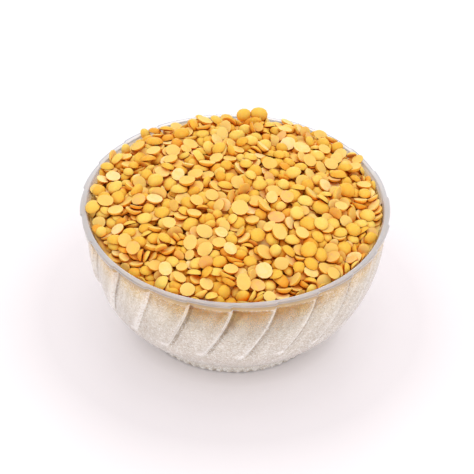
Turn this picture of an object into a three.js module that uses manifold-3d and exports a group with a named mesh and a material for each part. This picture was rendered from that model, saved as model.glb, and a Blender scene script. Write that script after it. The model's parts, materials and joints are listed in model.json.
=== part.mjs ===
// A pressed-glass bowl with swirled flutes, heaped with dry split dal.
// Millimetres, +Z up. The origin is the middle of the foot, on the surface that the bowl stands on.
import * as THREE from 'three';
import { mergeVertices } from 'three/addons/utils/BufferGeometryUtils.js';
import Module from 'manifold-3d';

const { degToRad, lerp, seededRandom, smoothstep } = THREE.MathUtils;

// Outside of the bowl: radii are taken over the rib tips
const BOWL_HEIGHT = 54.5;
const RIM_RADIUS = 60.4;
const RIM_WIDTH = 3.1;
const RIM_ROUNDING = 0.6;
const RIM_DEPTH = 1.9;
const WALL_RADIUS = 59;
const WALL_TOP = 50.5;
const WALL_CENTRE = 33.5;
const WALL_BOTTOM = 6;
const WALL_STEPS = 8;

// Foot: a short disc with a beaded edge and a shallow recess underneath
const FOOT_RADIUS = 37;
const FOOT_HEIGHT = 4.4;
const FOOT_NECK = 36.3;
const FOOT_RECESS_RADIUS = 30.5;
const FOOT_RECESS_DEPTH = 1.5;
const BEAD_HEIGHT = 0.45;

// Flutes: hollow panels between ribs that swirl clockwise on their way down
const FLUTES = 22;
const STEPS_PER_FLUTE = 4;
const FLUTE_DEPTH = 1;
const RIM_FLUTE_DEPTH = 0.55;
const RIB_SHARPNESS = 2.4;
const RIB_END = 17;
const RIB_FADE = 7;
const SWIRL = degToRad(15);
const RIB_PHASE = degToRad(-0.5);

// Inside of the bowl
const FLOOR_LEVEL = 8.5;
const FLOOR_RADIUS = 28;
const INNER_WALL_RADIUS = 55.8;
const INNER_STEPS = 6;
const INNER_SEGMENTS = 40;

// Dal: half seeds heaped above the rim on a solid core
const CLEARANCE = 0.4;
const HEAP_EDGE = 53.6;
const HEAP_CROWN = 8.5;
const HEAP_LEAN = 1;
const HEAP_STEPS = 5;
const GRAINS = 205;
const GRAIN_SIDES = 7;
const GRAIN_RADIUS = 3.1;
const GRAIN_RADIUS_SPREAD = 0.55;
const GRAIN_THICKNESS = 0.8;
const SHOULDER_RADIUS = 0.68;
const SHOULDER_HEIGHT = 0.76;
const GRAIN_TILT = degToRad(26);
const GRAIN_LIFT = 0.5;
const GRAIN_FIELD = 55;
const GOLDEN_ANGLE = Math.PI * (3 - Math.sqrt(5));
const STANDING_ACROSS = [3.9, 9.4];
const STANDING_BACK = 52.5;
const STANDING_LEAN = degToRad(62);
const STANDING_LIFT = 2.9;
const SEED = 11;
const DRAWS_PER_GRAIN = 8;
const SEAM_TOLERANCE = 0.12;

const wasm = await Module();
wasm.setup();

// A closed lathe shape standing on +Z, its first column at the front
function turned(outline, segments) {
  const shape = new THREE.LatheGeometry(outline, segments);
  shape.rotateX(Math.PI / 2);
  return shape;
}

function toSolid(geometry) {
  const bare = geometry.clone();
  bare.deleteAttribute('normal');
  bare.deleteAttribute('uv');
  const merged = mergeVertices(bare);
  return new wasm.Manifold(new wasm.Mesh({
    numProp: 3,
    vertProperties: new Float32Array(merged.attributes.position.array),
    triVerts: new Uint32Array(merged.index.array),
  }));
}

function toGeometry(solid) {
  const mesh = solid.getMesh();
  const geometry = new THREE.BufferGeometry();
  geometry.setAttribute('position', new THREE.BufferAttribute(mesh.vertProperties, 3));
  geometry.setIndex(new THREE.BufferAttribute(mesh.triVerts, 1));
  geometry.computeVertexNormals();
  return geometry;
}

// The ribs stand upright under the rim and lean over more and more towards the foot
function swirlAngle(height) {
  const drop = THREE.MathUtils.clamp((WALL_TOP - height) / (WALL_TOP - RIB_END), 0, 1);
  return -SWIRL * drop * drop;
}

function fluteDepth(height) {
  const below = FLUTE_DEPTH * smoothstep(height, RIB_END - RIB_FADE, RIB_END + RIB_FADE);
  return lerp(below, RIM_FLUTE_DEPTH, smoothstep(height, WALL_TOP, BOWL_HEIGHT - RIM_ROUNDING));
}

function bowlOutline() {
  const start = -Math.acos((FOOT_NECK - WALL_CENTRE) / (WALL_RADIUS - WALL_CENTRE));
  const wall = new THREE.EllipseCurve(
    WALL_CENTRE, WALL_TOP, WALL_RADIUS - WALL_CENTRE, WALL_TOP - WALL_BOTTOM, start, 0);
  return [
    new THREE.Vector2(0, FOOT_RECESS_DEPTH),
    new THREE.Vector2(FOOT_RECESS_RADIUS, FOOT_RECESS_DEPTH),
    new THREE.Vector2(FOOT_RECESS_RADIUS + FOOT_RECESS_DEPTH, 0),
    new THREE.Vector2(FOOT_NECK, 0),
    new THREE.Vector2(FOOT_RADIUS, FOOT_HEIGHT / 2),
    new THREE.Vector2(FOOT_NECK, FOOT_HEIGHT),
    ...wall.getPoints(WALL_STEPS),
    new THREE.Vector2(RIM_RADIUS, BOWL_HEIGHT - RIM_DEPTH),
    new THREE.Vector2(RIM_RADIUS, BOWL_HEIGHT - RIM_ROUNDING),
    new THREE.Vector2(RIM_RADIUS - RIM_ROUNDING, BOWL_HEIGHT),
    new THREE.Vector2(0, BOWL_HEIGHT),
  ];
}

// Radius of the smooth inner wall at a height between the floor and the rim
function innerRadius(height) {
  if (height > WALL_TOP) {
    const share = (height - WALL_TOP) / (BOWL_HEIGHT - WALL_TOP);
    return lerp(INNER_WALL_RADIUS, RIM_RADIUS - RIM_WIDTH, share);
  }
  const drop = (WALL_TOP - height) / (WALL_TOP - FLOOR_LEVEL);
  return FLOOR_RADIUS + (INNER_WALL_RADIUS - FLOOR_RADIUS) * Math.sqrt(Math.max(0, 1 - drop * drop));
}

function innerWall() {
  const curve = new THREE.EllipseCurve(
    FLOOR_RADIUS, WALL_TOP, INNER_WALL_RADIUS - FLOOR_RADIUS, WALL_TOP - FLOOR_LEVEL, -Math.PI / 2, 0);
  return curve.getPoints(INNER_STEPS);
}

// The outer shape is turned, then each column is swirled and hollowed between the ribs
function flutedBody() {
  const outline = bowlOutline();
  const columns = FLUTES * STEPS_PER_FLUTE;
  const shape = turned(outline, columns);
  const position = shape.attributes.position;
  for (let column = 0; column <= columns; column += 1) {
    const across = (column % STEPS_PER_FLUTE) / STEPS_PER_FLUTE;
    const hollow = 1 - Math.abs(2 * across - 1) ** RIB_SHARPNESS;
    const bead = column % 2 === 0 ? BEAD_HEIGHT : -BEAD_HEIGHT;
    outline.forEach((point, row) => {
      const angle = (column / columns) * 2 * Math.PI + RIB_PHASE + swirlAngle(point.y);
      const onAxis = point.x === 0;
      const onBeads = point.x === FOOT_RADIUS;
      const carved = point.y > FOOT_HEIGHT && !onAxis ? fluteDepth(point.y) * hollow : 0;
      const radius = point.x - carved + (onBeads ? bead : 0);
      const vertex = column * outline.length + row;
      position.setXYZ(vertex, radius * Math.sin(angle), -radius * Math.cos(angle), point.y);
    });
  }
  return toSolid(shape);
}

function bowl() {
  const mouth = BOWL_HEIGHT + RIM_WIDTH;
  const hollow = turned([
    new THREE.Vector2(0, FLOOR_LEVEL),
    ...innerWall(),
    new THREE.Vector2(innerRadius(BOWL_HEIGHT), BOWL_HEIGHT),
    new THREE.Vector2(innerRadius(BOWL_HEIGHT), mouth),
    new THREE.Vector2(0, mouth),
  ], INNER_SEGMENTS);
  return flutedBody().subtract(toSolid(hollow));
}

// Height of the bare core under the grains: a dome that stands a little higher at the back
function heapLevel(x, y) {
  const edge = innerRadius(HEAP_EDGE);
  return HEAP_EDGE + HEAP_CROWN * (1 - (x * x + y * y) / edge ** 2) + HEAP_LEAN * (y / edge);
}

function heapNormal(x, y) {
  const edge = innerRadius(HEAP_EDGE);
  const slopeX = (-2 * HEAP_CROWN * x) / edge ** 2;
  const slopeY = (-2 * HEAP_CROWN * y) / edge ** 2 + HEAP_LEAN / edge;
  return new THREE.Vector3(-slopeX, -slopeY, 1).normalize();
}

function heapCore() {
  const edge = innerRadius(HEAP_EDGE) - CLEARANCE;
  const wall = innerWall().map((point) => new THREE.Vector2(point.x - CLEARANCE, point.y + CLEARANCE));
  const outline = [new THREE.Vector2(0, FLOOR_LEVEL + CLEARANCE), ...wall];
  for (let step = HEAP_STEPS; step >= 0; step -= 1) {
    outline.push(new THREE.Vector2(edge * (step / HEAP_STEPS), HEAP_EDGE));
  }
  const shape = turned(outline, INNER_SEGMENTS);
  const position = shape.attributes.position;
  for (let i = 0; i < position.count; i += 1) {
    if (i % outline.length > wall.length) {
      position.setZ(i, heapLevel(position.getX(i), position.getY(i)));
    }
  }
  return toSolid(shape);
}

// Half a seed: a flat split face below and a round back above, centred on its middle
function halfSeed(radius) {
  const thickness = radius * GRAIN_THICKNESS;
  return turned([
    new THREE.Vector2(0, -thickness / 2),
    new THREE.Vector2(radius, -thickness / 2),
    new THREE.Vector2(radius * SHOULDER_RADIUS, thickness * (SHOULDER_HEIGHT - 0.5)),
    new THREE.Vector2(0, thickness / 2),
  ], GRAIN_SIDES);
}

function crossesBowl(shape) {
  const position = shape.attributes.position;
  for (let i = 0; i < position.count; i += 1) {
    const height = position.getZ(i);
    const reach = Math.hypot(position.getX(i), position.getY(i));
    const limit = innerRadius(Math.min(height - CLEARANCE, BOWL_HEIGHT)) - CLEARANCE;
    if (height < BOWL_HEIGHT + CLEARANCE && reach > limit) {
      return true;
    }
  }
  return false;
}

// Puts a half seed on the dome, tilted from the dome's own slope
function placedGrain(size, x, y, lift, tilt) {
  const turn = new THREE.Quaternion().setFromUnitVectors(new THREE.Vector3(0, 0, 1), heapNormal(x, y));
  turn.multiply(new THREE.Quaternion().setFromEuler(tilt));
  const shape = halfSeed(size).applyQuaternion(turn);
  return shape.translate(x, y, heapLevel(x, y) + lift);
}

// Grains lie at random tilts, split face up or down, and are drawn in where they would cross the bowl
function grainOnHeap(index) {
  const draw = (channel) => seededRandom(SEED + index * DRAWS_PER_GRAIN + channel);
  const size = GRAIN_RADIUS + (2 * draw(0) - 1) * GRAIN_RADIUS_SPREAD;
  const turn = draw(2) < 0.5 ? Math.PI : 0;
  const roll = GRAIN_TILT * (2 * draw(1) - 1);
  const pitch = GRAIN_TILT * (2 * draw(3) - 1);
  const tilt = new THREE.Euler(roll + turn, pitch, draw(4));
  const heading = index * GOLDEN_ANGLE;
  let radius = GRAIN_FIELD * Math.sqrt((index + 0.5) / GRAINS);
  let shape;
  do {
    shape = placedGrain(size, radius * Math.sin(heading), -radius * Math.cos(heading), GRAIN_LIFT, tilt);
    radius -= CLEARANCE;
  } while (crossesBowl(shape));
  return shape;
}

// Two grains stand on edge at the back of the heap
function standingGrain(across) {
  const lean = new THREE.Euler(STANDING_LEAN, 0, 0);
  return placedGrain(GRAIN_RADIUS, across, STANDING_BACK, STANDING_LIFT, lean);
}

// Needless points along the seams are taken out, and the largest body is kept, so that a sealed
// hollow is filled and a loose scrap dropped
function dalHeap() {
  const scattered = Array.from({ length: GRAINS }, (_, index) => grainOnHeap(index));
  const standing = STANDING_ACROSS.map(standingGrain);
  let heap = heapCore();
  for (const grain of [...scattered, ...standing]) {
    heap = heap.add(toSolid(grain));
  }
  const bodies = heap.asOriginal().simplify(SEAM_TOLERANCE).decompose();
  return bodies.reduce((best, body) => (body.volume() > best.volume() ? body : best));
}

const glass = new THREE.MeshStandardMaterial({ color: 0xd6cfc6, roughness: 0.2, metalness: 0 });
const dal = new THREE.MeshStandardMaterial({ color: 0xf2b54a, roughness: 0.6, metalness: 0 });

const bowlMesh = new THREE.Mesh(toGeometry(bowl()), glass);
bowlMesh.name = 'glass_bowl';
const heapMesh = new THREE.Mesh(toGeometry(dalHeap()), dal);
heapMesh.name = 'dal_heap';

const dish = new THREE.Group();
dish.add(bowlMesh, heapMesh);

export default dish;
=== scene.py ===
import json
import math

import bpy
import numpy as np
from mathutils import Matrix, Quaternion, Vector

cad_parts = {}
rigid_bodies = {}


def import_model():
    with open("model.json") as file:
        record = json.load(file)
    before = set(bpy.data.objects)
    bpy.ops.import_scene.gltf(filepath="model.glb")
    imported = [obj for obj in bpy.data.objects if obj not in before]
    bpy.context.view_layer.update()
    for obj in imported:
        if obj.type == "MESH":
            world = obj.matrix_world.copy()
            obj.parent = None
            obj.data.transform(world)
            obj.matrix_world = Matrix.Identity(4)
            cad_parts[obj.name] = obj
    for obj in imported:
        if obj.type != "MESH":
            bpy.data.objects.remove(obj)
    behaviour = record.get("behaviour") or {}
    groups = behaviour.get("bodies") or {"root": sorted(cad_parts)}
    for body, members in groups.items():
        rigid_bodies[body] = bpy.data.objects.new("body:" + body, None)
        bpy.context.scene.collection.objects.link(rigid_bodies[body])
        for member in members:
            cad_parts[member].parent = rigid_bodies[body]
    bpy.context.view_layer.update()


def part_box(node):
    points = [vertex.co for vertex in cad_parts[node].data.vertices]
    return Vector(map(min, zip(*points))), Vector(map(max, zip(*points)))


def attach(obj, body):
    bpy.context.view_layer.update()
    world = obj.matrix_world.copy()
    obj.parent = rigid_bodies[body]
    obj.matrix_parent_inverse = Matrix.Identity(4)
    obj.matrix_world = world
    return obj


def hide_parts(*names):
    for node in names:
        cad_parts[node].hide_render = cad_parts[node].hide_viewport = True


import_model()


# The bowl is one piece of soda-lime glass, pressed in a steel mould: the plunger leaves the inside smooth,
# and the mould gives the outside its swirled flutes, the lip its flat top and the foot its beaded edge.
# It stands on the table on its own foot, and nothing is fixed to it.

MM = 0.001
bowl_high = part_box("glass_bowl")[1]
BOWL_HEIGHT = bowl_high.z
RIM_RADIUS = bowl_high.y
RIM_INNER = RIM_RADIUS - 2.7 * MM
RIM_ROUNDING = 0.6 * MM
RIM_DEPTH = 0.8 * MM
RIM_SHOULDER = 1.1 * MM
WALL_RADIUS = RIM_RADIUS - 1.4 * MM
WALL_TOP = BOWL_HEIGHT - 4 * MM
WALL_CENTRE = 33.5 * MM
WALL_BOTTOM = 6 * MM
WALL_END = 46.2 * MM
FOOT_RADIUS = 37 * MM
FOOT_HEIGHT = 4.4 * MM
FOOT_ROUNDING = 1.2 * MM
RECESS_RADIUS = 30.5 * MM
RECESS_DEPTH = 1.5 * MM
FLOOR_LEVEL = 8.5 * MM
FLOOR_RADIUS = 28 * MM
INNER_WALL_RADIUS = 55.8 * MM
HUB_RADIUS = 2 * MM
ROUNDING_ROWS = 6


def inner_radius(z):
    """Radius of the smooth inside of the wall at a height."""
    drop = np.clip((WALL_TOP - z) / (WALL_TOP - FLOOR_LEVEL), 0, 1)
    flare = np.clip((z - WALL_TOP) / (BOWL_HEIGHT - WALL_TOP), 0, 1)
    curve = FLOOR_RADIUS + (INNER_WALL_RADIUS - FLOOR_RADIUS) * np.sqrt(1 - drop ** 2)
    return curve + (RIM_INNER - INNER_WALL_RADIUS) * flare


def arc(centre, radius, first, last, steps):
    """Points of an arc in the profile plane, angles in degrees."""
    turn = np.radians(np.linspace(first, last, steps))
    return np.column_stack([centre[0] + radius * np.cos(turn), centre[1] + radius * np.sin(turn)])


def straight(start, end, steps):
    """Points of a straight line in the profile plane."""
    share = np.linspace(0, 1, steps)[:, None]
    return np.array(start) * (1 - share) + np.array(end) * share


underside = np.vstack([
    straight((HUB_RADIUS, RECESS_DEPTH), (RECESS_RADIUS - 1 * MM, RECESS_DEPTH), 6),
    straight((RECESS_RADIUS, RECESS_DEPTH - 0.4 * MM), (RECESS_RADIUS + 0.6 * MM, 0), 3),
    straight((RECESS_RADIUS + 1.4 * MM, 0), (FOOT_RADIUS - 1.5 * FOOT_ROUNDING, 0), 3),
])
sweep = np.linspace(-math.acos((WALL_END - WALL_CENTRE) / (WALL_RADIUS - WALL_CENTRE)), 0, 54)
wall = np.column_stack([
    WALL_CENTRE + (WALL_RADIUS - WALL_CENTRE) * np.cos(sweep),
    WALL_TOP + (WALL_TOP - WALL_BOTTOM) * np.sin(sweep),
])
foot = np.vstack([
    arc((FOOT_RADIUS - FOOT_ROUNDING, FOOT_ROUNDING), FOOT_ROUNDING, -90, 0, 5),
    straight((FOOT_RADIUS, 1.5 * MM), (FOOT_RADIUS, FOOT_HEIGHT - 1.6 * MM), 4),
    straight((FOOT_RADIUS + 0.5 * MM, FOOT_HEIGHT - 0.9 * MM), wall[0], 12)[:-1],
])
lip_low = (WALL_RADIUS + 0.25 * MM, WALL_TOP + 0.7 * MM)
lip_high = (RIM_RADIUS - 0.2 * MM, BOWL_HEIGHT - RIM_DEPTH)
lip = np.vstack([
    straight(lip_low, lip_high, 4),
    (RIM_RADIUS, BOWL_HEIGHT - RIM_DEPTH + 0.1 * MM),
    arc((RIM_RADIUS - RIM_ROUNDING, BOWL_HEIGHT - RIM_ROUNDING), RIM_ROUNDING, 0, 90, ROUNDING_ROWS),
    straight((RIM_RADIUS - RIM_SHOULDER, BOWL_HEIGHT), (RIM_INNER + RIM_SHOULDER, BOWL_HEIGHT), 3),
])
neck_heights = WALL_TOP + np.linspace(2.6, 0.6, 4) * MM
bowed_heights = WALL_TOP - (WALL_TOP - FLOOR_LEVEL) * np.sin(np.radians(np.linspace(0, 90, 31)))
inner_heights = np.concatenate([neck_heights, bowed_heights])
inside = np.vstack([
    arc((RIM_INNER + RIM_ROUNDING, BOWL_HEIGHT - RIM_ROUNDING), RIM_ROUNDING, 90, 180, ROUNDING_ROWS),
    np.column_stack([inner_radius(inner_heights), inner_heights]),
    straight((FLOOR_RADIUS - 1.5 * MM, FLOOR_LEVEL), (HUB_RADIUS, FLOOR_LEVEL), 6),
])
rows = np.vstack([underside, foot, wall, lip, inside])
heights = rows[:, 1]


def per_row(on_foot=0.0, on_wall=0.0, on_lip=0.0, on_inside=0.0):
    """An amount for each row of the profile: for each stretch one number, or a list for its first rows."""
    done = [np.zeros(len(underside))]
    for stretch, amounts in ((foot, on_foot), (wall, on_wall), (lip, on_lip), (inside, on_inside)):
        amounts = np.full(len(stretch), amounts) if np.isscalar(amounts) else np.array(amounts)
        done.append(np.pad(amounts, (0, len(stretch) - len(amounts))))
    return np.concatenate(done)


fluted = per_row(on_wall=1.0, on_lip=[1] * (len(lip) - 3) + [0.55, 0.2, 0])
beaded = per_row(on_foot=[0.3, 0.7, 0.9, 1.0, 1.0, 0.9, 0.6, 0.25])
within = per_row(on_inside=[0] * ROUNDING_ROWS + [1] * (len(inside) - ROUNDING_ROWS))
stippled = per_row(on_foot=1.0, on_wall=1.0)
edged = per_row(on_lip=[0] * 6 + [1] * 5, on_inside=[0] + [1] * 4)

FLUTES = 22
BEADS_PER_FLUTE = 3
RIB_CREST = 0.915
RIB_PHASE = math.radians(0.3)
RIB_END = 23.5 * MM
RIB_FADE = 5 * MM
PANEL_COLUMNS = 16
STEP_COLUMNS = 8


def turned_points(profile, turns):
    """Points of a profile turned round the upright axis: for each turn, a column of the profile's rows."""
    return np.stack([
        profile[None, :, 0] * np.sin(turns)[:, None],
        -profile[None, :, 0] * np.cos(turns)[:, None],
        np.broadcast_to(profile[None, :, 1], (len(turns), len(profile))),
    ], axis=2)


def turned_faces(column_count, row_count):
    """Faces of a turned surface that is closed at its first row and at its last one."""
    grid = np.arange(column_count * row_count).reshape(column_count, row_count)
    ahead = np.roll(grid, -1, axis=0)
    quads = np.stack([grid[:, :-1], ahead[:, :-1], ahead[:, 1:], grid[:, 1:]], axis=2).reshape(-1, 4)
    return quads.tolist() + [grid[::-1, 0].tolist(), grid[:, -1].tolist()]


def give(mesh, name, values, kind="FLOAT", domain="POINT"):
    """Stores values on a mesh under a name."""
    field = "vector" if kind == "FLOAT_VECTOR" else "value"
    mesh.attributes.new(name, kind, domain).data.foreach_set(field, np.ravel(values).tolist())


flute_columns = np.concatenate([
    np.linspace(0, RIB_CREST, PANEL_COLUMNS, endpoint=False),
    np.linspace(RIB_CREST, 1, STEP_COLUMNS, endpoint=False),
])
angles = RIB_PHASE + (np.arange(FLUTES)[:, None] + flute_columns).ravel() * 2 * math.pi / FLUTES
columns = len(angles)
points = turned_points(rows, angles).reshape(-1, 3)
blank = bpy.data.meshes.new("pressed_bowl_blank")
blank.from_pydata(points.tolist(), [], turned_faces(columns, len(rows)))
for name, amounts in (
    ("fluted", fluted), ("beaded", beaded), ("within", within), ("stippled", stippled), ("edged", edged),
):
    give(blank, name, np.tile(amounts, columns))

# Frost and painted light across a flute: little frost in the groove, where a dark shade line is painted, even
# frost on the panel, and most along the crest and the step, where a highlight is painted. It is stronger on
# some flutes than on others, each rib ends in a painted white highlight, a hook, and the beads get painted
# glints on their tops and painted shade between them.
EVEN_FROST = 0.5
HOOK_HIGHLIGHT = 0.6
HOOK_PLACE = 0.85
HOOK_WIDTH = 0.13
HOOK_HEIGHT = 1.2 * MM
KNOB_GLINT_AND_SHADE = 0.7
KNOB_MIDDLE = 0.6
STREAK_STRETCH = 0.2
frost_places = (0, 0.05, 0.12, 0.3, 0.7, 0.84, RIB_CREST, 0.945, 0.985, 1)
frost_and_light_amounts = (0, 0.05, 0.4, 0.5, 0.5, 0.62, 0.85, 1, 1, 0.1)
frost_and_light_across = np.interp(flute_columns, frost_places, frost_and_light_amounts) - EVEN_FROST
flute_strength = 0.8 + 0.3 * np.sin(2.4 * np.arange(FLUTES) + 1.2)
ribbed = np.clip((heights - RIB_END) / RIB_FADE + 0.5, 0, 1) * (fluted > 0) * (heights <= WALL_TOP)
frosted = EVEN_FROST + np.outer(flute_strength, frost_and_light_across).reshape(-1, 1) * ribbed
hook = np.exp(-((heights - RIB_END) / HOOK_HEIGHT) ** 2) * (fluted > 0)
near_crest = np.exp(-((flute_columns - HOOK_PLACE) / HOOK_WIDTH) ** 2)
frosted += HOOK_HIGHLIGHT * np.tile(near_crest, FLUTES)[:, None] * hook
knobs = np.abs(np.sin(BEADS_PER_FLUTE * math.pi * flute_columns))
frosted += KNOB_GLINT_AND_SHADE * (np.tile(knobs, FLUTES)[:, None] - KNOB_MIDDLE) * beaded
give(blank, "frosted", frosted)
unrolled = np.column_stack([np.full(len(rows), WALL_RADIUS), STREAK_STRETCH * heights])
give(blank, "along", turned_points(unrolled, angles), "FLOAT_VECTOR")


def bare_material(name):
    """A new material with an empty node tree."""
    made = bpy.data.materials.new(name)
    made.use_nodes = True
    made.node_tree.nodes.clear()
    return made


def add(tree, kind, inputs=(), stops=(), **settings):
    """Adds a node with its settings and colour stops, and gives each named input a value or a link."""
    made = tree.nodes.new(kind)
    for name, value in settings.items():
        setattr(made, name, value)
    for spot, value in stops:
        elements = made.color_ramp.elements
        stop = elements.new(spot) if 0 < spot < 1 else elements[-int(spot)]
        stop.color = value
    for name, value in dict(inputs).items():
        if isinstance(value, bpy.types.NodeSocket):
            tree.links.new(value, made.inputs[name])
        else:
            made.inputs[name].default_value = value
    return made


def placed(name, data):
    """An object with its mesh, lamp or camera, put in the scene."""
    made = bpy.data.objects.new(name, data)
    bpy.context.scene.collection.objects.link(made)
    return made


def new_tree(name, sizes):
    """A Geometry Nodes tree with a geometry input and a named input for each size."""
    tree = bpy.data.node_groups.new(name, "GeometryNodeTree")
    tree.interface.new_socket("Geometry", in_out="INPUT", socket_type="NodeSocketGeometry")
    for size in sizes:
        tree.interface.new_socket(size, in_out="INPUT", socket_type="NodeSocketFloat")
    tree.interface.new_socket("Geometry", in_out="OUTPUT", socket_type="NodeSocketGeometry")
    return tree


def grown(name, mesh, tree, sizes):
    """The plain mesh object that a Geometry Nodes tree makes of a mesh."""
    start = placed(name + "_start", mesh)
    modifier = start.modifiers.new(tree.name, "NODES")
    modifier.node_group = tree
    for socket in tree.interface.items_tree:
        if socket.in_out == "INPUT" and socket.name in sizes:
            modifier[socket.identifier] = float(sizes[socket.name])
    graph = bpy.context.evaluated_depsgraph_get()
    done = bpy.data.meshes.new_from_object(start.evaluated_get(graph), depsgraph=graph)
    bpy.data.objects.remove(start)
    done.name = name
    return placed(name, done)


glass = bare_material("pressed soda-lime glass")
flute_sizes = {
    "Flute depth": 1.45 * MM,
    "Lip flute depth": 0.55 * MM,
    "Rib crest": RIB_CREST,
    "Rib end": RIB_END,
    "Rib fade": RIB_FADE,
    "Swirl end": 14 * MM,
    "Swirl": math.radians(-15.5),
    "Phase": RIB_PHASE,
    "Wall top": WALL_TOP,
    "Lip": BOWL_HEIGHT - RIM_ROUNDING,
    "Bead height": 0.9 * MM,
}
PANEL_BEND = 1.4
SWIRL_BEND = 1.3
HALF_WAVES = FLUTES * BEADS_PER_FLUTE / 2
mould = new_tree("swirled flutes", flute_sizes)
given = mould.nodes.new("NodeGroupInput").outputs
rib_end = given["Rib end"]
rib_fade = given["Rib fade"]
place = add(mould, "GeometryNodeInputPosition").outputs[0]
apart = add(mould, "ShaderNodeSeparateXYZ", {0: place}).outputs
front = add(mould, "ShaderNodeMath", {0: apart["Y"], 1: -1.0}, operation="MULTIPLY").outputs[0]
angle = add(mould, "ShaderNodeMath", {0: apart["X"], 1: front}, operation="ARCTAN2").outputs[0]
turned = add(mould, "ShaderNodeMath", {0: angle, 1: given["Phase"]}, operation="SUBTRACT").outputs[0]
count = add(mould, "ShaderNodeMath", {0: turned, 1: FLUTES / (2 * math.pi)}, operation="MULTIPLY").outputs[0]
across = add(mould, "ShaderNodeMath", {0: count}, operation="FRACT").outputs[0]
to_crest = add(mould, "ShaderNodeMapRange", {
    "Value": across, "From Min": given["Rib crest"], "From Max": 0.0,
}).outputs[0]
below = add(mould, "ShaderNodeMath", {0: to_crest, 1: PANEL_BEND}, operation="POWER").outputs[0]
panel = add(mould, "ShaderNodeMath", {0: 1.0, 1: below}, operation="SUBTRACT").outputs[0]
step = add(mould, "ShaderNodeMapRange", {
    "Value": across, "From Min": 1.0, "From Max": given["Rib crest"],
}, interpolation_type="SMOOTHSTEP").outputs[0]
ridge = add(mould, "ShaderNodeMath", {0: panel, 1: step}, operation="MULTIPLY").outputs[0]
hollow = add(mould, "ShaderNodeMath", {0: 1.0, 1: ridge}, operation="SUBTRACT").outputs[0]
fade_low = add(mould, "ShaderNodeMath", {0: rib_end, 1: rib_fade}, operation="SUBTRACT").outputs[0]
fade_high = add(mould, "ShaderNodeMath", {0: rib_end, 1: rib_fade}, operation="ADD").outputs[0]
fade = add(mould, "ShaderNodeMapRange", {
    "Value": apart["Z"], "From Min": fade_low, "From Max": fade_high,
}, interpolation_type="SMOOTHSTEP").outputs[0]
depth = add(mould, "ShaderNodeMapRange", {
    "Value": apart["Z"], "From Min": given["Wall top"], "From Max": given["Lip"],
    "To Min": given["Flute depth"], "To Max": given["Lip flute depth"],
}).outputs[0]
is_fluted = add(mould, "GeometryNodeInputNamedAttribute", {"Name": "fluted"}, data_type="FLOAT").outputs[0]
is_beaded = add(mould, "GeometryNodeInputNamedAttribute", {"Name": "beaded"}, data_type="FLOAT").outputs[0]
cut = add(mould, "ShaderNodeMath", {0: hollow, 1: fade}, operation="MULTIPLY").outputs[0]
cut = add(mould, "ShaderNodeMath", {0: cut, 1: depth}, operation="MULTIPLY").outputs[0]
cut = add(mould, "ShaderNodeMath", {0: cut, 1: is_fluted}, operation="MULTIPLY").outputs[0]
wave = add(mould, "ShaderNodeMath", {0: turned, 1: HALF_WAVES}, operation="MULTIPLY").outputs[0]
wave = add(mould, "ShaderNodeMath", {0: wave}, operation="SINE").outputs[0]
wave = add(mould, "ShaderNodeMath", {0: wave}, operation="ABSOLUTE").outputs[0]
wave = add(mould, "ShaderNodeMath", {0: wave, 1: 0.6, 2: -0.5}, operation="MULTIPLY_ADD").outputs[0]
bead = add(mould, "ShaderNodeMath", {0: wave, 1: given["Bead height"]}, operation="MULTIPLY").outputs[0]
bead = add(mould, "ShaderNodeMath", {0: bead, 1: is_beaded}, operation="MULTIPLY").outputs[0]
move = add(mould, "ShaderNodeMath", {0: bead, 1: cut}, operation="SUBTRACT").outputs[0]
flat = add(mould, "ShaderNodeCombineXYZ", {"X": apart["X"], "Y": apart["Y"]}).outputs[0]
away = add(mould, "ShaderNodeVectorMath", {0: flat}, operation="NORMALIZE").outputs[0]
shift = add(mould, "ShaderNodeVectorMath", {0: away, "Scale": move}, operation="SCALE").outputs[0]
pressed = add(mould, "ShaderNodeVectorMath", {0: place, 1: shift}, operation="ADD").outputs[0]
drop = add(mould, "ShaderNodeMapRange", {
    "Value": apart["Z"], "From Min": given["Wall top"], "From Max": given["Swirl end"],
}).outputs[0]
drop = add(mould, "ShaderNodeMath", {0: drop, 1: SWIRL_BEND}, operation="POWER").outputs[0]
swirl = add(mould, "ShaderNodeMath", {0: drop, 1: given["Swirl"]}, operation="MULTIPLY").outputs[0]
pressed = add(mould, "ShaderNodeVectorRotate", {
    "Vector": pressed, "Axis": (0, 0, 1), "Angle": swirl,
}, rotation_type="AXIS_ANGLE").outputs[0]
shaped = add(mould, "GeometryNodeSetPosition", {
    "Geometry": given["Geometry"], "Position": pressed,
}).outputs[0]
shaped = add(mould, "GeometryNodeSetShadeSmooth", {0: shaped}).outputs[0]
shaped = add(mould, "GeometryNodeRealizeInstances", {0: shaped}).outputs[0]
shaped = add(mould, "GeometryNodeSetMaterial", {"Geometry": shaped, "Material": glass}).outputs[0]
add(mould, "NodeGroupOutput", {"Geometry": shaped})
bowl = grown("pressed_bowl", blank, mould, flute_sizes)


def colour(code):
    """A colour written as sRGB hex, in linear light."""
    parts = [int(code[i:i + 2], 16) / 255 for i in (0, 2, 4)]
    return [p / 12.92 if p <= 0.04045 else ((p + 0.055) / 1.055) ** 2.4 for p in parts] + [1.0]


# Pressed glass: the mould's stipple, drawn at 0.45 mm so that it shows, frosts the outside, so the wall is
# part clear and part white. The dal gives a warm tint under the lip, the lower wall looks pale, and the lip
# is a smooth grey band, painted whiter at the back as painted light, with painted grey shade lines along its
# edges there.
STIPPLE = 0.45 * MM
STIPPLE_DEPTH = 0.12 * MM
STREAK = 3 * MM
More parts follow.
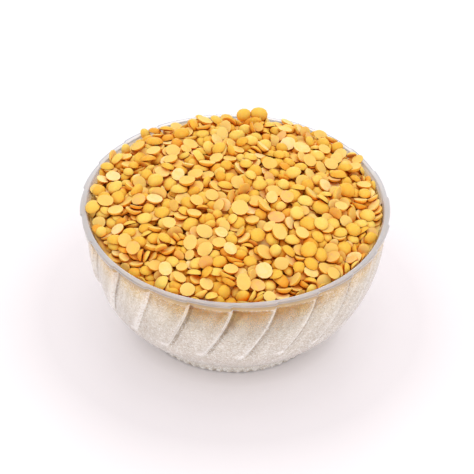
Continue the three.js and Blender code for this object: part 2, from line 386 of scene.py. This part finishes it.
# A Mix node repeats its socket names for each kind of value, so its two colours and their mix go by number.
UNDER, OVER, MIXED = 6, 7, 2
shade = glass.node_tree
where = add(shade, "ShaderNodeTexCoord").outputs["Object"]
apart = add(shade, "ShaderNodeSeparateXYZ", {0: where}).outputs
height = add(shade, "ShaderNodeMath", {0: apart["Z"], 1: BOWL_HEIGHT}, operation="DIVIDE").outputs[0]
inner = add(shade, "ShaderNodeAttribute", attribute_name="within").outputs["Fac"]
grain = add(shade, "ShaderNodeAttribute", attribute_name="stippled").outputs["Fac"]
frost_with_light = add(shade, "ShaderNodeAttribute", attribute_name="frosted").outputs["Fac"]
edge = add(shade, "ShaderNodeAttribute", attribute_name="edged").outputs["Fac"]
ribs = add(shade, "ShaderNodeAttribute", attribute_name="along").outputs["Vector"]
pits = add(shade, "ShaderNodeTexVoronoi", {"Vector": where, "Scale": 1 / STIPPLE})
stipple = pits.outputs["Distance"]
own = add(shade, "ShaderNodeSeparateColor", {0: pits.outputs["Color"]}).outputs[0]
streak = add(shade, "ShaderNodeTexNoise", {"Vector": ribs, "Scale": 1 / STREAK, "Detail": 2.0}).outputs["Fac"]
streak = add(shade, "ShaderNodeMapRange", {
    "Value": streak, "From Min": 0.3, "From Max": 0.7, "To Min": -1.0, "To Max": 1.0,
}).outputs[0]
streak = add(shade, "ShaderNodeMath", {0: streak, 1: grain}, operation="MULTIPLY").outputs[0]

clear_amounts = (
    (0.0, 0.2), (0.1, 0.25), (0.3, 0.45), (0.6, 0.65), (0.78, 0.85),
    (0.86, 0.9), (0.93, 0.9), (0.972, 1.0), (0.984, 0.5), (1.0, 0.5),
)
milk = add(shade, "ShaderNodeValToRGB", {"Fac": height}, [
    (spot, (amount, amount, amount, 1)) for spot, amount in clear_amounts
]).outputs[0]
speck = add(shade, "ShaderNodeMapRange", {
    "Value": stipple, "From Min": 0.1, "From Max": 0.8, "To Min": -0.25, "To Max": 0.25,
}).outputs[0]
speck = add(shade, "ShaderNodeMath", {0: speck, 1: grain, 2: 1.0}, operation="MULTIPLY_ADD").outputs[0]
thin = add(shade, "ShaderNodeMapRange", {"Value": frost_with_light, "To Min": 1.3, "To Max": 0.7}).outputs[0]
veil = add(shade, "ShaderNodeMath", {0: streak, 1: -0.12, 2: 1.0}, operation="MULTIPLY_ADD").outputs[0]
slant = add(shade, "ShaderNodeLayerWeight", {"Blend": 0.5}).outputs["Facing"]
slant = add(shade, "ShaderNodeMapRange", {
    "Value": slant, "From Min": 0.2, "From Max": 0.44, "To Min": 1.15, "To Max": 0.4,
}).outputs[0]
for share in (speck, veil, slant):
    thin = add(shade, "ShaderNodeMath", {0: thin, 1: share}, operation="MULTIPLY").outputs[0]
clear = add(shade, "ShaderNodeMath", {0: milk, 1: thin}, operation="MULTIPLY", use_clamp=True).outputs[0]
clear = add(shade, "ShaderNodeMix", {"Factor": inner, "A": clear, "B": 1.0}, data_type="FLOAT").outputs[0]

# Painted shade: the wall colour is darkest at the very bottom of the foot, where it meets the ground.
wall_colours = (
    (0.0, "80786E"), (0.015, "B4ACA2"), (0.035, "DCD5CC"), (0.12, "DAD2C8"),
    (0.3, "D6CDC3"), (0.6, "DED5CA"), (0.8, "E9E0D0"), (0.9, "EFD6A6"),
    (0.925, "DCBC86"), (0.972, "C4AC80"), (0.984, "CAC8CB"), (1.0, "CAC8CB"),
)
white = add(shade, "ShaderNodeValToRGB", {"Fac": height}, [
    (spot, colour(code)) for spot, code in wall_colours
]).outputs[0]
# Layers over that colour, in turn the grooves' painted dark shade line, the crests' painted highlight, the
# light pits' painted glints, the pale and the dull streaks of painted reflection and the dark pits: what each
# follows, where it starts and is full, its strength, its mask and its colour.
for value, start, full, strength, mask, code in (
    (frost_with_light, 0.35, 0.1, 0.78, 1.0, "8E7A64"),
    (frost_with_light, 0.5, 1.0, 0.9, 1.0, "FFFBF8"),
    (own, 0.6, 1.0, 0.75, grain, "FFFFFF"),
    (streak, 0.0, 1.0, 0.2, 1.0, "FFFBF4"),
    (streak, 0.0, -1.0, 0.15, 1.0, "B8AA98"),
    (own, 0.35, 0.0, 0.42, grain, "A8845C"),
):
    share = add(shade, "ShaderNodeMapRange", {
        "Value": value, "From Min": start, "From Max": full, "To Max": strength,
    }).outputs[0]
    share = add(shade, "ShaderNodeMath", {0: share, 1: mask}, operation="MULTIPLY").outputs[0]
    white = add(shade, "ShaderNodeMix", {
        "Factor": share, UNDER: white, OVER: colour(code),
    }, data_type="RGBA").outputs[MIXED]
# Painted light and shade on the lip: whiter at the back, with grey shade lines along its rounded edges there.
rear = add(shade, "ShaderNodeMapRange", {
    "Value": apart["Y"], "From Min": 0.0, "From Max": 45 * MM,
}).outputs[0]
top = add(shade, "ShaderNodeMapRange", {
    "Value": height, "From Min": 0.972, "From Max": 0.984, "To Max": 0.85,
}).outputs[0]
rear_lip_painted_light = add(shade, "ShaderNodeMath", {0: rear, 1: top}, operation="MULTIPLY").outputs[0]
rear_edge_painted_shade = add(shade, "ShaderNodeMath", {0: edge, 1: rear_lip_painted_light}, operation="MULTIPLY").outputs[0]
for share, code in ((rear_lip_painted_light, "F8F8FA"), (rear_edge_painted_shade, "98A0B0")):
    white = add(shade, "ShaderNodeMix", {
        "Factor": share, UNDER: white, OVER: colour(code),
    }, data_type="RGBA").outputs[MIXED]
rough = add(shade, "ShaderNodeMix", {"Factor": inner, "A": 0.15, "B": 0.05}, data_type="FLOAT").outputs[0]
rasp = add(shade, "ShaderNodeMath", {0: grain, 1: 0.25}, operation="MULTIPLY").outputs[0]
bump = add(shade, "ShaderNodeBump", {
    "Height": stipple, "Strength": rasp, "Distance": STIPPLE_DEPTH,
}).outputs[0]
skin = add(shade, "ShaderNodeBsdfPrincipled", {
    "Base Color": white,
    "Roughness": rough,
    "IOR": 1.5,
    "Transmission Weight": clear,
    "Normal": bump,
}).outputs[0]
add(shade, "ShaderNodeOutputMaterial", {"Surface": skin})
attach(bowl, "root")
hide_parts("glass_bowl")


# The dal under the surface is packed half seeds in the dark. It is one body here, poured to the floor of the
# bowl, and it reaches just into the wall all the way up, so that no air shows between the dal and the glass.

HEAP_EDGE = BOWL_HEIGHT + 0.5 * MM
HEAP_CROWN = 7.2 * MM
HEAP_LEAN = 2.0 * MM
CORE_DEPTH = 4.5 * MM
CORE_BITE = 0.1 * MM
CORE_SHOULDER = 3 * MM
CORE_SIDES = 96
edge_radius = RIM_RADIUS - 3.1 * MM


def heap_level(x, y):
    """Height of the heap's even surface, under the seeds that stand out of it."""
    dome = np.clip(1 - (x ** 2 + y ** 2) / edge_radius ** 2, 0, 1)
    return HEAP_EDGE + HEAP_CROWN * dome + HEAP_LEAN * y / edge_radius


core_heights = np.linspace(FLOOR_LEVEL - CORE_BITE, HEAP_EDGE - CORE_SHOULDER, 24)
core_radii = inner_radius(np.maximum(core_heights, FLOOR_LEVEL)) + CORE_BITE
top_radii = np.linspace(core_radii[-1] - CORE_SHOULDER, CORE_SHOULDER, 14)
core_rows = np.column_stack([
    np.concatenate([core_radii, top_radii]),
    np.concatenate([core_heights, np.zeros(len(top_radii))]),
])
core_points = turned_points(core_rows, np.arange(CORE_SIDES) * 2 * math.pi / CORE_SIDES)
core_top = core_points[:, len(core_radii):]
core_top[:, :, 2] = heap_level(core_top[:, :, 0], core_top[:, :, 1]) - CORE_DEPTH
core_mesh = bpy.data.meshes.new("packed_dal")
core_mesh.from_pydata(core_points.reshape(-1, 3).tolist(), [], turned_faces(CORE_SIDES, len(core_rows)))
at_wall = np.repeat((1.0, 0.0), (len(core_radii), len(top_radii)))
give(core_mesh, "at_wall", np.tile(at_wall, CORE_SIDES))
core_mesh.shade_smooth()
core = placed("packed_dal", core_mesh)

# Packed dal in shadow: seeds that shade off into darker gaps, golden against the glass and brown under the
# surface. It is pale low down, because the lower wall shows no yellow.
PACKED_SEED = 5.5 * MM
deep = bare_material("packed dal")
shade = deep.node_tree
where = add(shade, "ShaderNodeTexCoord").outputs["Object"]
cells = add(shade, "ShaderNodeTexVoronoi", {"Vector": where, "Scale": 1 / PACKED_SEED})
gaps = add(shade, "ShaderNodeMapRange", {
    "Value": cells.outputs["Distance"], "From Min": 0.35, "From Max": 0.85,
}).outputs[0]
own = add(shade, "ShaderNodeSeparateColor", {0: cells.outputs["Color"]}).outputs[0]
close = add(shade, "ShaderNodeMix", {
    "Factor": own, UNDER: colour("F2BA50"), OVER: colour("FCDC80"),
}, data_type="RGBA").outputs[MIXED]
close = add(shade, "ShaderNodeMix", {
    "Factor": gaps, UNDER: close, OVER: colour("D89C4C"),
}, data_type="RGBA").outputs[MIXED]
sunk = add(shade, "ShaderNodeMix", {
    "Factor": gaps, UNDER: colour("B8641C"), OVER: colour("7A300C"),
}, data_type="RGBA").outputs[MIXED]
touch = add(shade, "ShaderNodeAttribute", attribute_name="at_wall").outputs["Fac"]
tint = add(shade, "ShaderNodeMix", {
    "Factor": touch, UNDER: sunk, OVER: close,
}, data_type="RGBA").outputs[MIXED]
level = add(shade, "ShaderNodeSeparateXYZ", {0: where}).outputs["Z"]
raised = add(shade, "ShaderNodeMapRange", {
    "Value": level, "From Min": 36 * MM, "From Max": 49 * MM,
}).outputs[0]
tint = add(shade, "ShaderNodeMix", {
    "Factor": raised, UNDER: colour("EFE4D2"), OVER: tint,
}, data_type="RGBA").outputs[MIXED]
skin = add(shade, "ShaderNodeBsdfPrincipled", {"Base Color": tint, "Roughness": 0.8}).outputs[0]
add(shade, "ShaderNodeOutputMaterial", {"Surface": skin})
core.data.materials.append(deep)
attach(core, "root")
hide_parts("dal_heap")


# The half seeds are dried pulse, skinned and split in two: a matt pale split face and a smooth golden dome.
# They lie loose as they were poured, each one at rest on those below it, and the lip holds the outermost in.

SEED_RADIUS = 2.85 * MM
SEED_SPREAD = 0.36 * MM
SEED_LEAST = 2.2 * MM
SEED_MOST = 3.9 * MM
SEED_SHAPES = 6
SEED_SIDES = 12
SEED_RINGS = ((0.87, 0), (0.99, 0.03), (0.96, 0.28), (0.78, 0.66), (0.43, 0.92))
MASS_CENTRE = 0.375
chance = np.random.default_rng(5)


def half_seed(name, sides, rings, lumps=(), hollow=0.0):
    """A half seed of radius 1 and height 1: a split face at height 0 and a dome above it."""
    turn = np.arange(sides) * 2 * math.pi / sides
    bend = np.ones(sides) + sum(size * np.cos(k * turn + first) for k, size, first in lumps)
    spots = [(r * b * math.cos(t), r * b * math.sin(t), z) for r, z in rings for t, b in zip(turn, bend)]
    spots += [(0, 0, 1), (0, 0, hollow)]
    faces = [[(i + 1) % sides, i, len(spots) - 1] for i in range(sides)]
    for first in range(0, (len(rings) - 1) * sides, sides):
        for i in range(sides):
            j = (i + 1) % sides
            faces.append([first + i, first + j, first + sides + j, first + sides + i])
    last = (len(rings) - 1) * sides
    faces += [[last + i, last + (i + 1) % sides, len(spots) - 2] for i in range(sides)]
    mesh = bpy.data.meshes.new(name)
    mesh.from_pydata(spots, [], faces)
    return mesh


# The pour is worked out by rigid bodies in a mould of the bowl, a hundred times as large, because the solver
# is made for things of about a metre.
ENLARGE = 100.0
POUR_FRAMES = 44
PIT_SIDES = 64
PIT_DEPTH = 5.5 * MM
PIT_LEAN_REACH = 50 * MM
bpy.ops.rigidbody.world_add()
solver = bpy.context.scene.rigidbody_world
pour = bpy.data.collections.new("pour")
bpy.context.scene.collection.children.link(pour)
solver.collection = pour
solver.substeps_per_frame = 10
solver.solver_iterations = 12
solver.point_cache.frame_end = POUR_FRAMES

pit_radii = np.linspace(0.5 * MM, edge_radius - 1 * MM, 12)
pit_rows = [(r, float(heap_level(r, 0)) - PIT_DEPTH) for r in pit_radii]
pit_rows += [
    (edge_radius - 0.8 * MM, BOWL_HEIGHT - 3.5 * MM),
    (edge_radius, BOWL_HEIGHT),
    (edge_radius + 1.2 * MM, BOWL_HEIGHT + 0.1 * MM),
    (edge_radius + 1.5 * MM, BOWL_HEIGHT + 1.2 * MM),
    (edge_radius + 1.5 * MM, 2 * BOWL_HEIGHT),
]
pit_points = []
for turn in np.arange(PIT_SIDES) * 2 * math.pi / PIT_SIDES:
    for r, z in pit_rows:
        x, y = r * math.sin(turn), -r * math.cos(turn)
        lean = HEAP_LEAN * y / edge_radius if z < BOWL_HEIGHT or r < PIT_LEAN_REACH else 0
        pit_points.append((x * ENLARGE, y * ENLARGE, (z + lean) * ENLARGE))
# The pit is seen from inside and open at the top, so its faces are turned round and the last one is left off.
pit_faces = [face[::-1] for face in turned_faces(PIT_SIDES, len(pit_rows))[:-1]]
pit_mesh = bpy.data.meshes.new("pit")
pit_mesh.from_pydata(pit_points, [], pit_faces)
pit = bpy.data.objects.new("pit", pit_mesh)
pour.objects.link(pit)
pit.rigid_body.type = "PASSIVE"
pit.rigid_body.collision_shape = "MESH"
pit.rigid_body.friction = 0.8

# The seeds fall in layers. The last two leave the front of the edge bare, as far back as is given here as a
# share of the edge's radius, so that the heap is higher at the back.
SEED_LAYERS = 6
LAYER_STEP = 6.9 * MM
LAYER_SHIFT = 2 * MM
BARE_FRONT = {SEED_LAYERS - 2: -0.2, SEED_LAYERS - 1: 0.3}
BARE_RADIUS = 0.8
POUR_MARGIN = 3.6 * MM
PLACE_SPREAD = 0.2 * MM
TILT_SPREAD = 0.6
FLIPPED_SHARE = 0.45
poured_shape = half_seed("poured_seed", 10, ((0.99, 0.0), (0.95, 0.28), (0.7, 0.7)))
falling = []
reach = int(edge_radius / LAYER_STEP) + 2
for layer in range(SEED_LAYERS):
    for row in range(-reach, reach + 1):
        for column in range(-reach, reach + 1):
            x = (column + 0.5 * (row % 2) + 0.25 * layer) * LAYER_STEP
            x += chance.normal(0, PLACE_SPREAD)
            y = row * LAYER_STEP * math.sqrt(0.75) + LAYER_SHIFT * (layer % 2)
            y += chance.normal(0, PLACE_SPREAD)
            away = math.hypot(x, y)
            bare = layer in BARE_FRONT and y < BARE_FRONT[layer] * edge_radius
            if away > edge_radius - POUR_MARGIN or (bare and away > BARE_RADIUS * edge_radius):
                continue
            radius = np.clip(chance.normal(SEED_RADIUS, SEED_SPREAD), SEED_LEAST, SEED_MOST)
            size = radius * np.array([1.0, chance.uniform(0.8, 1.0), chance.uniform(0.52, 0.7)])
            mesh = poured_shape.copy()
            enlarged = Matrix.Diagonal((*(size * ENLARGE), 1.0))
            mesh.transform(enlarged @ Matrix.Translation((0, 0, -MASS_CENTRE)))
            body = bpy.data.objects.new("poured_seed", mesh)
            height = float(heap_level(x, y)) - 1 * MM + layer * LAYER_STEP
            body.location = Vector((x, y, height)) * ENLARGE
            body.rotation_mode = "QUATERNION"
            lying = Quaternion((0, 0, 1), chance.uniform(0, 2 * math.pi))
            tilt = chance.normal(0, TILT_SPREAD) + math.pi * (chance.random() < FLIPPED_SHARE)
            tilted = lying @ Quaternion((1, 0, 0), tilt)
            body.rotation_quaternion = tilted @ Quaternion((0, 0, 1), chance.uniform(0, 2 * math.pi))
            pour.objects.link(body)
            body.rigid_body.mass = float(np.prod(size / MM))
            body.rigid_body.friction = 0.7
            body.rigid_body.linear_damping = 0.1
            body.rigid_body.angular_damping = 0.3
            falling.append((body, size))
for body in pour.objects:
    body.rigid_body.restitution = 0.0
    body.rigid_body.use_margin = True
    body.rigid_body.collision_margin = 0.005
for number in range(1, POUR_FRAMES + 1):
    bpy.context.scene.frame_set(number)
graph = bpy.context.evaluated_depsgraph_get()
seeds = []
for body, size in falling:
    seat = body.evaluated_get(graph).matrix_world.copy()
    rest = seat @ Vector((0, 0, -MASS_CENTRE * size[2] * ENLARGE)) / ENLARGE
    seeds.append((rest, seat.to_quaternion(), size, chance.random()))
bpy.ops.rigidbody.world_remove()
bpy.context.scene.frame_set(1)
bpy.data.batch_remove([body.data for body, _ in falling] + [poured_shape, pit_mesh])
bpy.data.collections.remove(pour)


def seed_top(turn, size):
    """How far a half seed reaches above the centre of its split face."""
    lift = np.array(turn.to_matrix()[2]) * size
    return math.sqrt(lift[0] ** 2 + lift[1] ** 2 + (lift[2] ** 2 if lift[2] > 0 else 0))


# Seeds left leaning on the mould above the lip would roll off the bowl, so they are taken away.
LEANING_RADIUS = edge_radius - 3.4 * MM
LEANING_TOP = BOWL_HEIGHT + 4.2 * MM
seeds = [
    (rest, turn, size, tone) for rest, turn, size, tone in seeds
    if math.hypot(rest.x, rest.y) < LEANING_RADIUS or rest.z + seed_top(turn, size) < LEANING_TOP
]
# Two seeds stand on edge side by side at the back, held between their neighbours.
STANDING_LEVEL = BOWL_HEIGHT + 4.2 * MM
STANDING_TILT = math.radians(62)
STANDING_SHAPE = np.array([1.0, 0.92, 0.62])
STANDING_TONE = 0.6
for x, y, spin, radius in ((2.4 * MM, 53.6 * MM, 0.2, 3.0 * MM), (8.5 * MM, 54.2 * MM, 0.1, 3.5 * MM)):
    turn = (Matrix.Rotation(STANDING_TILT, 3, "X") @ Matrix.Rotation(spin, 3, "Z")).to_quaternion()
    seeds.append((Vector((x, y, STANDING_LEVEL)), turn, radius * STANDING_SHAPE, STANDING_TONE))

shapes = bpy.data.collections.new("half_seed_shapes")
rim_corners = range(SEED_SIDES, 2 * SEED_SIDES)
for number in range(SEED_SHAPES):
    lumps = [(k, chance.uniform(0.01, 0.06) / (k - 1), chance.uniform(0, 6.28)) for k in (2, 3, 4)]
    shape = half_seed(f"half_seed_{number}", SEED_SIDES, SEED_RINGS, lumps, chance.uniform(0.05, 0.2))
    shape.shade_smooth()
    split = np.zeros(len(shape.polygons))
    split[:2 * SEED_SIDES] = 1
    give(shape, "split", split, domain="FACE")
    sharp = [all(corner in rim_corners for corner in edge.vertices) for edge in shape.edges]
    give(shape, "sharp_edge", sharp, "BOOLEAN", "EDGE")
    shapes.objects.link(bpy.data.objects.new(shape.name, shape))

spots = bpy.data.meshes.new("half_seed_spots")
spots.from_pydata([rest for rest, *_ in seeds], [], [])
give(spots, "turn", [turn[:] for _, turn, _, _ in seeds], "QUATERNION")
give(spots, "size", [size for _, _, size, _ in seeds], "FLOAT_VECTOR")
give(spots, "tone", [tone for *_, tone in seeds])

dal = bare_material("dry split dal")
laying = new_tree("poured seeds", ["Shapes"])
given = laying.nodes.new("NodeGroupInput").outputs
kinds = add(laying, "GeometryNodeCollectionInfo", {
    "Collection": shapes, "Separate Children": True, "Reset Children": True,
}).outputs[0]
turn = add(laying, "GeometryNodeInputNamedAttribute", {"Name": "turn"}, data_type="QUATERNION").outputs[0]
size = add(laying, "GeometryNodeInputNamedAttribute", {"Name": "size"}, data_type="FLOAT_VECTOR").outputs[0]
number = add(laying, "GeometryNodeInputIndex").outputs[0]
kind = add(laying, "ShaderNodeMath", {0: number, 1: given["Shapes"]}, operation="MODULO").outputs[0]
laid = add(laying, "GeometryNodeInstanceOnPoints", {
    "Points": given["Geometry"], "Instance": kinds, "Pick Instance": True, "Instance Index": kind,
    "Rotation": turn, "Scale": size,
}).outputs[0]
laid = add(laying, "GeometryNodeRealizeInstances", {0: laid}).outputs[0]
laid = add(laying, "GeometryNodeSetMaterial", {"Geometry": laid, "Material": dal}).outputs[0]
add(laying, "NodeGroupOutput", {"Geometry": laid})
heap = grown("half_seeds", spots, laying, {"Shapes": SEED_SHAPES})

# Dry split pulse: a pale, matt, faintly mealy split face and a smoother golden dome, each seed a little
# lighter or deeper than its neighbours. Light glows a little through the thin edges, and the shade is painted
# in as
# well: painted orange on the sides that face away from the sky and in the gaps between seeds, and a painted
# dark red-brown shade on the lines where they touch. The meal is drawn coarser than it is, so that it shows.
CLOUD = 2.2 * MM
MEAL = 0.8 * MM
MEAL_DEPTH = 0.18 * MM
dome_colours = ((0.0, "E29E38"), (0.15, "E2AF42"), (0.5, "E4B84C"), (1.0, "E9C968"))
face_colours = ((0.0, "E2B16E"), (0.12, "E4BB60"), (0.8, "E8C774"), (1.0, "ECD192"))
shade = dal.node_tree
where = add(shade, "ShaderNodeTexCoord").outputs["Object"]
split = add(shade, "ShaderNodeAttribute", attribute_name="split").outputs["Fac"]
tone = add(shade, "ShaderNodeAttribute", attribute_name="tone").outputs["Fac"]
cloud = add(shade, "ShaderNodeTexNoise", {"Vector": where, "Scale": 1 / CLOUD, "Detail": 2.0}).outputs["Fac"]
shift = add(shade, "ShaderNodeMath", {0: cloud, 1: 0.5, 2: -0.25}, operation="MULTIPLY_ADD").outputs[0]
mixed = add(shade, "ShaderNodeMath", {0: tone, 1: shift}, operation="ADD", use_clamp=True).outputs[0]
dome = add(shade, "ShaderNodeValToRGB", {"Fac": mixed}, [
    (spot, colour(code)) for spot, code in dome_colours
]).outputs[0]
face = add(shade, "ShaderNodeValToRGB", {"Fac": mixed}, [
    (spot, colour(code)) for spot, code in face_colours
]).outputs[0]
tint = add(shade, "ShaderNodeMix", {
    "Factor": split, UNDER: dome, OVER: face,
}, data_type="RGBA").outputs[MIXED]
# Painted shade: surfaces that turn away from the sky are painted orange.
facing = add(shade, "ShaderNodeNewGeometry").outputs["Normal"]
facing = add(shade, "ShaderNodeSeparateXYZ", {0: facing}).outputs["Z"]
side = add(shade, "ShaderNodeMapRange", {
    "Value": facing, "From Min": 0.6, "From Max": -0.2, "To Max": 0.5,
}).outputs[0]
tint = add(shade, "ShaderNodeMix", {
    "Factor": side, UNDER: tint, OVER: colour("F2A236"),
}, data_type="RGBA").outputs[MIXED]
# Painted shade: orange where the seeds crowd each other, dark red-brown where they touch.
for near, shut, clear_of, code in ((3.0 * MM, 0.08, 0.68, "F48C04"), (0.75 * MM, 0.2, 0.68, "862200")):
    lit = add(shade, "ShaderNodeAmbientOcclusion", {
        "Distance": near,
    }, samples=8, only_local=True).outputs["AO"]
    lit = add(shade, "ShaderNodeMapRange", {
        "Value": lit, "From Min": shut, "From Max": clear_of,
    }).outputs[0]
    tint = add(shade, "ShaderNodeMix", {
        "Factor": lit, UNDER: colour(code), OVER: tint,
    }, data_type="RGBA").outputs[MIXED]
rough = add(shade, "ShaderNodeMix", {"Factor": split, "A": 0.42, "B": 0.62}, data_type="FLOAT").outputs[0]
meal = add(shade, "ShaderNodeTexNoise", {"Vector": where, "Scale": 1 / MEAL, "Detail": 2.0}).outputs["Fac"]
bump = add(shade, "ShaderNodeBump", {"Height": meal, "Strength": 0.5, "Distance": MEAL_DEPTH}).outputs[0]
skin = add(shade, "ShaderNodeBsdfPrincipled", {
    "Base Color": tint,
    "Roughness": rough,
    "Specular IOR Level": 0.07,
    "Subsurface Weight": 0.25,
    "Subsurface Radius": (1.0, 0.5, 0.12),
    "Subsurface Scale": 1.0 * MM,
    "Normal": bump,
}).outputs[0]
add(shade, "ShaderNodeOutputMaterial", {"Surface": skin})
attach(heap, "root")


# The ground is a plain white acrylic sheet that glows faintly, painted light that keeps the bowl's shadow
# pale. A softbox hangs overhead and a little behind, with a weak fill lamp in front and one at
# the back.

GROUND_REACH = 3.0
ground_corners = [(x * GROUND_REACH, y * GROUND_REACH, 0) for x, y in ((-1, -1), (1, -1), (1, 1), (-1, 1))]
ground_mesh = bpy.data.meshes.new("white_ground")
ground_mesh.from_pydata(ground_corners, [], [[0, 1, 2, 3]])
table = placed("white_ground", ground_mesh)

# White acrylic: matt and nearly even, with a painted soft shadow round the bowl: palest round the foot and a
# little greyer further out. Its faint glow is painted light, and it gives none under the foot, which leaves a
# painted dark contact shadow there.
painted_shadow_ring_colours = ((0.0, "F2EEF1"), (0.1, "E2DDE1"), (0.22, "D6D1D5"), (0.4, "DCD8DB"), (1.0, "E0DDE0"))
acrylic = bare_material("white acrylic")
shade = acrylic.node_tree
where = add(shade, "ShaderNodeTexCoord").outputs["Object"]
away = add(shade, "ShaderNodeVectorMath", {0: where}, operation="LENGTH").outputs["Value"]
far = add(shade, "ShaderNodeMapRange", {
    "Value": away, "From Min": 40 * MM, "From Max": 200 * MM,
}).outputs[0]
tint = add(shade, "ShaderNodeValToRGB", {"Fac": far}, [
    (spot, colour(code)) for spot, code in painted_shadow_ring_colours
]).outputs[0]
painted_underglow = add(shade, "ShaderNodeMapRange", {
    "Value": away, "From Min": 38.5 * MM, "From Max": 45 * MM, "To Max": 0.14,
}).outputs[0]
skin = add(shade, "ShaderNodeBsdfPrincipled", {
    "Base Color": tint,
    "Roughness": 0.9,
    "Specular IOR Level": 0.1,
    "Emission Color": colour("FFF8FA"),
    "Emission Strength": painted_underglow,
}).outputs[0]
add(shade, "ShaderNodeOutputMaterial", {"Surface": skin})
table.data.materials.append(acrylic)

world = bpy.data.worlds.new("white studio")
bpy.context.scene.world = world
world.use_nodes = True
world.node_tree.nodes.clear()
sky = add(world.node_tree, "ShaderNodeBackground", {"Color": colour("FFFDFB"), "Strength": 0.87}).outputs[0]
add(world.node_tree, "ShaderNodeOutputWorld", {"Surface": sky})

LAMP_AIM = Vector((0, 0, 0.04))
for name, spot, width, power in (
    ("overhead softbox", (0.05, 0.15, 1.2), 1.4, 8.0),
    ("front fill", (0.0, -1.3, 0.35), 0.5, 4.0),
    ("back fill", (0.0, 1.3, 0.35), 0.5, 3.0),
):
    lamp = bpy.data.lights.new(name, "AREA")
    lamp.shape = "DISK"
    lamp.size = width
    lamp.energy = power
    hung = placed(name, lamp)
    hung.location = spot
    hung.rotation_euler = (LAMP_AIM - Vector(spot)).to_track_quat("-Z", "Y").to_euler()
bpy.context.scene.view_settings.view_transform = "Standard"

# The camera stands a metre off, 38 degrees above the table, with the photograph's slight roll. Its focal
# length and its aim beside the rim's centre are in pixels of the photograph.
ELEVATION = math.radians(38.4)
ROLL = math.radians(1.5)
DISTANCE = 1.0
PHOTO_PIXELS = 474
FOCAL_PIXELS = 2575.0
AIM_RIGHT_PIXELS = 1.6
AIM_DOWN_PIXELS = 31.5
back = Vector((0, -math.cos(ELEVATION), math.sin(ELEVATION)))
level_right = Vector((1, 0, 0))
level_up = back.cross(level_right)
right = math.cos(ROLL) * level_right + math.sin(ROLL) * level_up
up = back.cross(right)
rim_centre = Vector((0, 0, BOWL_HEIGHT))
aim = -back + right * (AIM_RIGHT_PIXELS / FOCAL_PIXELS) - up * (AIM_DOWN_PIXELS / FOCAL_PIXELS)
aim.normalize()
right = aim.cross(up).normalized()
up = right.cross(aim)
lens = bpy.data.cameras.new("photo camera")
lens.sensor_width = 36.0
lens.lens = lens.sensor_width * FOCAL_PIXELS / PHOTO_PIXELS
lens.clip_start = 0.01
lens.clip_end = 100.0
camera = placed("photo camera", lens)
seat = Matrix((right, up, -aim)).transposed().to_4x4()
seat.translation = rim_centre + back * DISTANCE
camera.matrix_world = seat
bpy.context.scene.camera = camera
